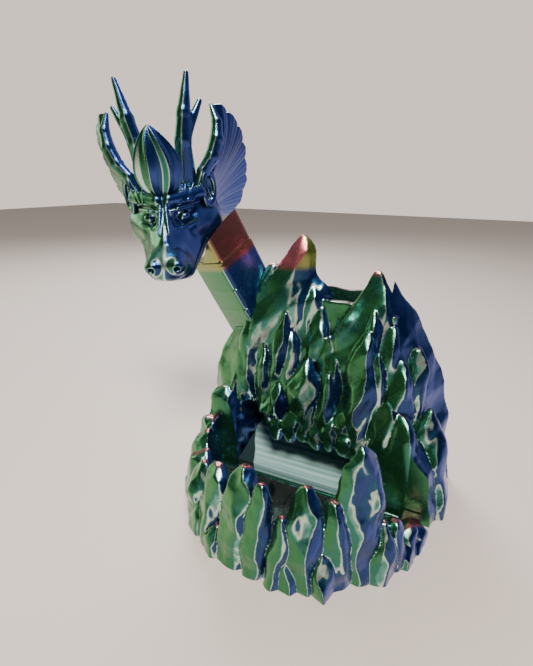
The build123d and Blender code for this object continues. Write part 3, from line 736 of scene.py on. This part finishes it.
def make_tray(material):
    field = Field((-99, -99, -2), (99, -1, 96), 0.75)
    field.wander(1.9, 21.0, 81)
    rng = np.random.default_rng(4)
    for number, (angle, height, width, lean, drift) in enumerate(TRAY_ROCKS):
        out = (sin(radians(angle)), -cos(radians(angle)))
        reach = TRAY_OUTER - width * 0.98
        profile = [
            (-8, width * 0.80), (height * 0.10, width * 0.88), (height * rng.uniform(0.28, 0.40), width),
            (height * rng.uniform(0.56, 0.68), width * 0.90),
            (height * rng.uniform(0.82, 0.90), width * 0.66),
            (height, width * 0.24),
        ]
        if height < 20:
            profile = [(-8, width), (height * 0.7, width * 0.9), (height, width * 0.5)]
        facing = 0.55 * angle + 0.45 * CAMERA_FACING
        leans = (-out[0] * lean - out[1] * drift, -out[1] * lean + out[0] * drift)
        crystal(field, (out[0] * reach, out[1] * reach), profile, facing, 5, leans, 0.92, seed=300 + number,
                uneven=0.12, edge=0.4)
    for number, (angle, height, width) in enumerate(FOOT_ROCKS):
        out = (sin(radians(angle)), -cos(radians(angle)))
        reach = TRAY_OUTER - width * 0.9
        profile = [(-8, width * 0.9), (height * 0.5, width), (height, width * 0.3)]
        crystal(field, (out[0] * reach, out[1] * reach), profile, 0.5 * (angle + CAMERA_FACING), 5,
                (-out[0] * 3, -out[1] * 3), 0.9, seed=340 + number, uneven=0.15, edge=0.4)
    field.straight()
    slices, (x, y, z) = field.everywhere()
    from_middle = np.sqrt(x * x + y * y)
    field.add(slices, np.maximum(from_middle - 88, z - 8.5))
    # the bowl's inner wall follows the rocks loosely
    bowl = from_middle - 75.5 - 2.2 * ripple(x, y, z * 0.5, 24.0, 31)
    field.cut(slices, np.maximum(bowl, TRAY_FLOOR - z))
    # the square ledge beside the bowl's right end
    field.add(slices, np.maximum(np.maximum(np.abs(x - 82.5) - 6.5, np.abs(y + 14) - 11), z - 10))
    worn = 0.55 * crease(x, y, z * 0.6, 21.0, 41) + 0.08 * ripple(x, y, z, 6.0, 42)
    field.values += worn.astype(np.float32)
    # the straight lip along the back of the floor, with a clear gap behind it
    field.add(slices, np.maximum(np.maximum(np.abs(x) - 75, np.abs(y + 6) - 1.0), z - 5.5))
    field.cut(slices, np.maximum(np.abs(x) - 75, -5.0 - y))
    tray = field.mesh("tray")
    carve(tray, [
        prism("below", box_outline((-200, -200), (200, 200)), -50, 0, LEVEL),
        prism("behind", box_outline((-200, -60), (200, 300)), DOCK_Y - DOCK_GAP, 50, UPRIGHT),
    ])
    thin_out(tray, 180000)
    smooth(tray, 32)
    finish_piece(tray, material, "tray", "silk_tray", "rock_tray")


# ---- the neck ------------------------------------------------------------------------------
SCUTES = [-3.0, -24.0, -42.0, -62.0, -84.0]       # upper edges of the scutes, along the neck
SECTION_CORNER = 4.0
NECK_WALL = 3.0
NECK_HOLE = 26.0                # depth of the hole for the spigot
SPIGOT = 24.9
SPIGOT_GAP = 0.3
UPPER_INSET = 0.6               # how far the upper length stands inside the lower one's faces
# The upper length ends inside the head. Where the cheek takes over it is cut at a slant: (point, way up).
NECK_TOP_END = 24.0
NECK_TOP_CUT = ((-77.1, -5.8, 193.1), (-0.854, -0.176, 0.490))


def square_ring(half, corner, steps=8):
    """Points round a square with rounded corners, anticlockwise, from the middle of the +x side."""
    points = []
    for quarter in range(4):
        turn = quarter * pi / 2
        for step in range(steps + 1):
            angle = pi / 2 * step / steps
            a, b = half - corner + corner * cos(angle), half - corner + corner * sin(angle)
            points.append((a * cos(turn) - b * sin(turn), a * sin(turn) + b * cos(turn)))
    return points


def neck_length(name, low, high, half, swollen):
    """A length of the square neck. Its front corner carries overlapping scutes."""
    origin, x_way, y_way, axis = neck_plane()
    rings = max(int((high - low) / 0.75), 2)
    ring = square_ring(half, SECTION_CORNER)
    count = len(ring)
    points = []
    for number in range(rings + 1):
        along = low + (high - low) * number / rings
        ease = min(1.0, (along - low) / 1.2 + 0.4, (high - along) / 1.2 + 0.4)
        rise = 0.0
        for top, bottom in zip(SCUTES, SCUTES[1:]):
            if bottom < along <= top:
                share = (along - bottom) / (top - bottom)
                rise = swollen * (share ** 1.5 - 0.15)
        for a, b in ring:
            corner = max(0.0, (a - b) / (2 * half) - 0.70) / 0.30
            inset = (1 - ease) * 0.8
            length = hypot(a, b)
            size = 1 - inset / length + rise * corner / length
            points.append((origin + x_way * a * size + y_way * b * size + axis * along) * MM)
    faces = []
    for number in range(rings):
        for step in range(count):
            after = (step + 1) % count
            faces.append((number * count + step, number * count + after,
                          (number + 1) * count + after, (number + 1) * count + step))
    mesh = bpy.data.meshes.new(name)
    mesh.from_pydata(points, [], faces + [tuple(range(count))[::-1],
                                          tuple(rings * count + step for step in range(count))])
    shell = bmesh.new()
    shell.from_mesh(mesh)
    bmesh.ops.remove_doubles(shell, verts=shell.verts, dist=1e-7)
    bmesh.ops.recalc_face_normals(shell, faces=shell.faces)
    shell.to_mesh(mesh)
    shell.free()
    piece = bpy.data.objects.new(name, mesh)
    bpy.context.scene.collection.objects.link(piece)
    return piece


def make_neck(material):
    half = NECK_SIDE / 2
    hole = half - NECK_WALL
    spigot = hole - SPIGOT_GAP
    lower = neck_length("neck_shaft", -NECK_BELOW, 0.0, half - 0.05, 0.9)
    carve(lower, [prism("hole", box_outline((-hole, -hole), (hole, hole)), -NECK_HOLE, 5.0, neck_plane())])
    smooth(lower, 40)
    finish_piece(lower, material, "neck", "silk_neck", "neck_lower")
    upper = neck_length("neck_top", 0.1, NECK_TOP_END, half - UPPER_INSET, 0.0)
    cut = Vector(NECK_TOP_CUT[1]).normalized()
    level = Vector((0, 0, 1)).cross(cut).normalized()
    slanted = (NECK_TOP_CUT[0], level, cut.cross(level), cut)
    carve(upper, [prism("slant", box_outline((-60, -60), (60, 60)), 0, 80, slanted)])
    smooth(upper, 40)
    finish_piece(upper, material, "head", "silk_neck", "neck_upper")
    foot = prism("neck_spigot", box_outline((-spigot, -spigot), (spigot, spigot)), -SPIGOT, 0.6,
                 neck_plane())
    soften(foot, 0.5)
    finish_piece(foot, material, "head", "silk_neck")


def soften(piece, width):
    step = piece.modifiers.new("edges", "BEVEL")
    step.width = width * MM
    step.segments = 3
    settle(piece)
    smooth(piece)


# ---- the head ------------------------------------------------------------------------------
def head_axes():
    """The head's right, up and forward directions."""
    turn, pitch, roll = radians(HEAD_AZIMUTH), radians(HEAD_PITCH), radians(HEAD_ROLL)
    forward = Vector((cos(pitch) * sin(turn), -cos(pitch) * cos(turn), -sin(pitch)))
    level = Vector((cos(turn), sin(turn), 0))
    right = level * cos(roll) + forward.cross(level) * sin(roll)
    return np.array([right, forward.cross(right), forward])


HEAD_PLACE = (head_axes(), np.array(HEAD_CENTRE))


def ellipsoid(grid, centre, radii):
    x, y, z = ((value - c) / r for value, c, r in zip(grid, centre, radii))
    return (np.sqrt(x * x + y * y + z * z) - 1) * min(radii)


def limb(grid, start, end, start_radius, end_radius, flat=(1, 1, 1)):
    """A tapered rod with round ends. flat squeezes it along the axes."""
    start = np.array(start) * flat
    way = np.array(end) * flat - start
    x, y, z = (value * f - s for value, f, s in zip(grid, flat, start))
    share = np.clip((x * way[0] + y * way[1] + z * way[2]) / (way @ way), 0, 1)
    gap = np.sqrt((x - share * way[0]) ** 2 + (y - share * way[1]) ** 2 + (z - share * way[2]) ** 2)
    return gap - start_radius - (end_radius - start_radius) * share


def make_skull(material):
    field = Field((-38, -42, -34), (38, 38, 76), 0.6)
    slices, grid = field.everywhere()
    x, y, z = grid
    both = (np.abs(x), y, z)
    parts = [
        # the skull, the muzzle, the cheeks and the jaw
        (ellipsoid(grid, (0, -1, -3), (28, 24, 22)), 0),
        (limb(grid, (0, 0, 8), (0, -7, 50), 20.5, 11.5), 8),
        (ellipsoid(both, (15, -9, 3), (15, 15, 21)), 8),
        (limb(both, (16, -13, 4), (8, -14, 52), 13.0, 8.5), 6),
        (ellipsoid(both, (19.5, -12.5, 8), (14.0, 13.0, 15.0)), 6),
        # the nose and its nostrils, the brows, the cheekbones and the bridge
        (ellipsoid(grid, (0, -6, 57), (13.5, 10.5, 12)), 6),
        (limb(both, (6.5, -2.5, 58), (8, -2, 63), 6.0, 5.0), 3),
        (limb(both, (4, 19.5, 24), (22, 15, 11), 4.6, 4.8), 3),
        (limb(both, (15, -1, 27), (25, -4, 8), 4.5, 6.0), 5),
        (limb(grid, (0, 18, 19), (0, 5, 47), 4.6, 3.6), 4),
    ]
    for distance, blend in parts:
        field.add(slices, distance, blend)
    # hollows for the eyes close beside the bridge of the nose, with eyeballs and lids in them
    field.cut(slices, ellipsoid(both, (10.0, 10.0, 34.0), (5.6, 4.0, 7.0)), 1.5)
    field.cut(slices, ellipsoid(both, (18.0, 7.0, 27.0), (7.0, 2.8, 6.0)), 2.5)
    field.add(slices, ellipsoid(both, (11.0, 8.8, 26.4), (4.6, 3.0, 4.0)), 0.8)
    for start, end in (((4.8, 15.5, 31), (9.5, 16.2, 29.5)), ((9.5, 16.2, 29.5), (17.5, 13.0, 23.0)),
                       ((4.8, 15.5, 31), (5.2, 8.0, 35.5)), ((5.2, 8.0, 35.5), (10.5, 4.4, 34.0)),
                       ((10.5, 4.4, 34.0), (19.5, 3.0, 26.0))):
        field.add(slices, limb(both, start, end, 1.5, 1.2), 1.0)
    # wrinkles that fan out over each brow
    for number in range(6):
        turn = radians(42 + 21 * number)
        inner = (12.5 + 7.5 * cos(turn), 12.0 + 5.5 * sin(turn), 27.0 - 1.6 * (5 - number) * 0.8)
        outer = (13.0 + 14.5 * cos(turn), 12.5 + 11.0 * sin(turn), 19.0 - 2.4 * (5 - number) * 0.8)
        field.add(slices, limb(both, inner, outer, 1.3, 0.8), 0.9)
    # two raised lines down the bridge of the nose, and bars across the brow
    for start, end in (((1.9, 22.8, 22), (2.0, 17.0, 32)), ((2.0, 17.0, 32), (3.4, 9.0, 45))):
        field.add(slices, limb(both, start, end, 1.3, 1.1), 0.8)
    for number in range(5):
        rise, reach, half = 28.0 - 2.2 * number, 13.5 + 2.7 * number, 6.5 - 1.0 * number
        field.add(slices, limb(grid, (-half, rise, reach), (half, rise, reach), 1.35, 1.35), 0.5)
    # nostrils with a raised rim, the line of the mouth and a line down each cheek
    field.add(slices, ellipsoid(both, (7.8, -1.5, 64.5), (4.6, 4.2, 4.0)), 2.5)
    field.cut(slices, ellipsoid(both, (8.4, -0.6, 68.5), (1.9, 1.6, 4.0)), 0.8)
    mouth = np.abs(y + 13.0 + 0.05 * (z - 40) + 1.2 * np.cos(x / 6.0)) - 0.9
    skin = np.abs(field.values) - 2.4
    field.cut(slices, np.maximum(np.maximum(mouth, skin), 26 - z), 0.8)
    for start, end in (((27.5, 4, 8), (28.5, -6, 6)), ((28.5, -6, 6), (26.5, -15, 8))):
        field.add(slices, limb(both, start, end, 1.3, 0.8), 1.0)
    # scales on the sides of the neck end
    scaly = np.clip((4 - z) / 14, 0, 1) * np.clip((np.abs(x) - 12) / 8, 0, 1)
    field.values += (scaly * 0.5 * ripple(x, y, z, 6.5, 51)).astype(np.float32)
    field.values += (0.12 * ripple(x, y, z, 9.0, 52)).astype(np.float32)
    skull = field.mesh("skull", HEAD_PLACE)
    smooth(skull, 60)
    thin_out(skull, 150000)
    finish_piece(skull, material, "head", "silk_dragon", "dragon_head")


def make_crest(material):
    """A bud of overlapping lobes whose raised rims meet at its foot."""
    field = Field((-20, 12, -10), (20, 68, 34), 0.5)
    slices, (x, y, z) = field.everywhere()
    foot, tip = np.array((0, 20.0, 20.0)), np.array((-1.0, 61.0, 6.0))
    length = np.linalg.norm(tip - foot)
    axis = (tip - foot) / length
    along = ((x - foot[0]) * axis[0] + (y - foot[1]) * axis[1] + (z - foot[2]) * axis[2]) / length
    out = np.cross((1.0, 0, 0), axis)
    across = x - foot[0] - along * length * axis[0]
    deep = ((x - foot[0]) * out[0] + (y - foot[1]) * out[1] + (z - foot[2]) * out[2])
    share = np.clip(along, 0.001, 0.999)
    width = 14.2 * np.sin(pi * share ** 0.80) ** 0.70 + 2.6 * (1 - share)
    angle = np.arctan2(across, -deep / 0.66) + 0.25 * np.sin(pi * share)
    ridge = np.abs(np.cos(3.5 * angle)) ** 4
    surface = np.hypot(across, deep / 0.66) - width * (0.76 + 0.26 * ridge)
    ends = np.maximum(-along, along - 0.995) * length
    field.add(slices, np.maximum(surface * 0.7, ends))
    crest = field.mesh("crest", HEAD_PLACE)
    smooth(crest, 60)
    finish_piece(crest, material, "head", "silk_dragon", "forehead_crest")


ANTLER_LIMBS = [
    ((12.5, 18, 2), (15.5, 42, -6), 8.0, 5.4), ((15.5, 42, -6), (18.5, 56, -14), 5.4, 4.6),
    ((18.5, 56, -14), (22.8, 74, -27.5), 4.6, 1.7), ((16.5, 43, -7), (28.5, 58.5, -23.5), 4.2, 1.8),
]


def make_antlers(material):
    for side, name, node in ((1, "antler_r", "antler_right"), (-1, "antler_l", "antler_left")):
        field = Field((2, 10, -36), (36, 80, 12), 0.5)
        slices, (x, y, z) = field.everywhere()
        for start, end, start_radius, end_radius in ANTLER_LIMBS:
            field.add(slices, limb((x, y, z), start, end, start_radius, end_radius, (1.0, 1.0, 1.25)), 1.6)
        field.values += (0.10 * ripple(x, y * 0.3, z, 7.0, 61)).astype(np.float32)
        flip = np.diag((side, 1.0, 1.0))
        antler = field.mesh(name, (flip @ HEAD_PLACE[0], HEAD_PLACE[1]))
        smooth(antler, 60)
        finish_piece(antler, material, "head", "silk_dragon", node)


# The frill's front rib and its scalloped outer edge, in the head's axes, from the root to the tip and on
# down to the lower end. The second number of each rib point is its half width.
FIN_RIB = [
    ((20.5, 6, 8), 2.2), ((21.5, 15, 5), 3.4), ((25.5, 23, 0), 4.2), ((32.5, 29.5, -6), 4.7),
    ((37.0, 38, -13), 4.6), ((38.0, 46, -20), 3.5), ((35.0, 54, -27), 1.3),
]
FIN_EDGE = [
    (35, 54.5, -28), (41, 52.5, -31), (46.5, 45, -34), (51.5, 34, -37), (53.5, 16, -40), (52, -10, -40),
    (44, -30, -36), (32, -36, -28),
]
FIN_NORMAL = np.array((0.839, -0.048, 0.542))
FIN_SCALLOPS = 8


def along_path(points, share):
    """The point a share of the way along a path."""
    points = np.array(points, float)
    steps = np.linalg.norm(np.diff(points, axis=0), axis=1)
    marks = np.concatenate(([0], np.cumsum(steps))) / steps.sum()
    return np.array([np.interp(share, marks, points[:, axis]) for axis in range(3)])


def fin_blade(name, side):
    """A thin cupped fan of ribs that spreads from the frill's root to its scalloped edge."""
    rays, rings = 144, 30
    sheets = ([], [])
    for ray in range(rays + 1):
        turn = ray / rays
        root = along_path([(20, 8, 5), (22, -4, -2), (22, -18, -10)], turn)
        scallop = abs(sin(pi * FIN_SCALLOPS * turn))
        rim = along_path(FIN_EDGE, turn)
        rim = root + (rim - root) * (1 - 0.03 * (1 - scallop ** 0.6))
        for ring in range(rings + 1):
            out = ring / rings
            point = root + (rim - root) * out
            point[0] += 9.0 * 4 * out * (1 - out) * (1 - turn) ** 1.4
            relief = out ** 0.7 * (0.45 * scallop ** 0.7 + 0.12 * sin(pi * 6 * FIN_SCALLOPS * turn))
            cup = -3.5 * sin(pi * out) * sin(pi * turn)
            half = 1.25 - 0.7 * out
            for sheet, way in zip(sheets, (half, -half)):
                moved = point + FIN_NORMAL * (relief + cup + way)
                moved[0] *= side
                sheet.append((moved @ HEAD_PLACE[0] + HEAD_PLACE[1]) * MM)
    across = rings + 1
    under = len(sheets[0])
    quads = []
    for ray in range(rays):
        for ring in range(rings):
            a = ray * across + ring
            quads.append((a, a + 1, a + across + 1, a + across))
            quads.append((a + under, a + across + under, a + across + 1 + under, a + 1 + under))
    border = list(range(across))
    border += [ray * across + rings for ray in range(1, rays + 1)]
    border += [rays * across + ring for ring in range(rings - 1, -1, -1)]
    border += [ray * across for ray in range(rays - 1, 0, -1)]
    for a, b in zip(border, border[1:] + border[:1]):
        quads.append((b, a, a + under, b + under))
    return mesh_object(name, np.array(sheets[0] + sheets[1]), quads)


def make_fins(material):
    for side, name, node in ((1, "fin_r", "fin_right"), (-1, "fin_l", "fin_left")):
        blade = fin_blade(name + "_blade", side)
        smooth(blade, 50)
        finish_piece(blade, material, "head", "silk_dragon", node)
        field = Field((12, 0, -34), (48, 62, 16), 0.5)
        slices, (x, y, z) = field.everywhere()
        for (start, start_half), (end, end_half) in zip(FIN_RIB, FIN_RIB[1:]):
            field.add(slices, limb((x, y, z), start, end, start_half, end_half, (1.0, 1.0, 1.2)), 1.2)
        rib = field.mesh(name + "_rib", (np.diag((side, 1.0, 1.0)) @ HEAD_PLACE[0], HEAD_PLACE[1]))
        smooth(rib, 60)
        finish_piece(rib, material, "head", "silk_dragon", node)


def make_ears(material):
    along = np.array((0.6, 0.0, -0.8))
    normal = np.array((0.75, 0.3, 0.6))
    normal /= np.linalg.norm(normal)
    upward = np.cross(normal, along)
    for side, name, node in ((1, "ear_r", "ear_right"), (-1, "ear_l", "ear_left")):
        field = Field((-12, -16, -5), (12, 16, 9), 0.4)
        slices, (a, b, out) = field.everywhere()
        turn = radians(-25)
        wide = a * cos(turn) + b * sin(turn)
        tall = b * cos(turn) - a * sin(turn)
        ring = (np.hypot(wide / 5.2, tall / 10.6) - 1) * 5.2
        field.add(slices, np.hypot(ring, (out - 1.8) * 0.8) - 1.6)
        cup = np.maximum(ring, np.abs(out - 0.6 + 2.4 * np.clip(-ring / 5.2, 0, 1)) - 1.1)
        field.add(slices, cup, 0.8)
        field.add(slices, limb((a, b, out), (0, -9, 1.5), (0, 7, 0.2), 1.4, 0.6), 0.8)
        basis = np.array([along, upward, normal])
        flip = np.diag((side, 1.0, 1.0))
        origin = np.array((26.5 * side, 13.0, 4.0)) @ HEAD_PLACE[0] + HEAD_PLACE[1]
        ear = field.mesh(name, (basis @ flip @ HEAD_PLACE[0], origin))
        smooth(ear, 60)
        finish_piece(ear, material, "head", "silk_dragon", node)


make_camera()
make_surroundings()
make_floor()
area_light("key", (0.20, -0.50, 0.84), 1.3, 0.35, 26, (1.0, 0.96, 0.90))
area_light("back", (-0.45, 0.60, 0.66), 1.2, 0.60, 14, (0.93, 0.97, 1.0))
area_light("left", (-0.95, -0.10, 0.30), 1.3, 0.60, 3, (0.95, 1.0, 0.96))

crag_silk = silk("crag_silk", band=(0.172, 0.003))
tray_silk = silk("tray_silk", flat_up=0.8)
ramp_silk = painted_sheen_silk("ramp_silk")
neck_silk = silk("neck_silk", layers=tuple(NECK_AXIS), band=(NECK_JOINT.dot(NECK_AXIS) * MM - 0.006, 0.002),
                 turned_to=OLIVE_RED)
head_silk = silk("head_silk", flat_up=0.1, shine=0.18)
magnet_metal = nickel("magnet_metal")
slot_materials = {
    "silk_crag": crag_silk, "silk_tray": tray_silk, "silk_ramp": ramp_silk, "silk_neck": neck_silk,
    "silk_dragon": head_silk, "magnet": magnet_metal,
}
for row in frame["record"]["subparts"]:
    node = frame["nodes"][row["node"]]
    node.data.materials.clear()
    node.data.materials.append(slot_materials[row["material_slot"]])

make_crag(crag_silk)
make_tray(tray_silk)
make_neck(neck_silk)
make_skull(head_silk)
make_crest(head_silk)
make_antlers(head_silk)
make_fins(head_silk)
make_ears(head_silk)
